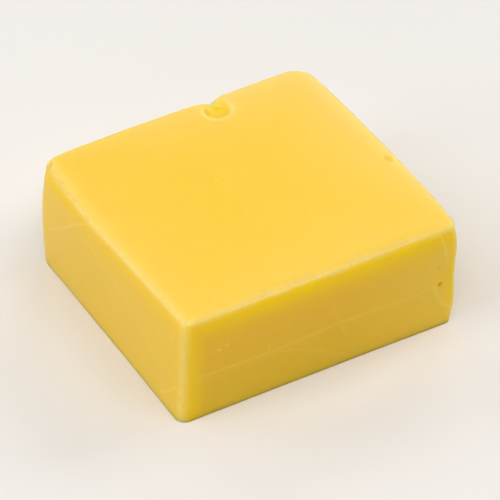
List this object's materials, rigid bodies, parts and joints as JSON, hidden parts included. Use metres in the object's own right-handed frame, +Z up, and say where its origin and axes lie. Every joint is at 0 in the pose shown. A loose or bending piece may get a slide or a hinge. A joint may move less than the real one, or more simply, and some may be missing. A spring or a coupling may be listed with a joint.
{
  "type": "emmental cheese block",
  "caption": "Retail block of emmental cheese: smooth, yellow and rindless, with wire-cut edges, rounded corners and a small open eye by the back edge.",
  "frame": {"origin": "middle of the block's flat base", "axes": "+X along the block's longer side, +Y along its shorter side towards the edge with the eye, +Z up through its height"},
  "size_m": [0.0844, 0.081, 0.035],
  "materials": {
    "cheese": "waxy satin"
  },
  "bodies": {
    "root": {"cheese_block": "cheese"}
  },
  "joints": []
}
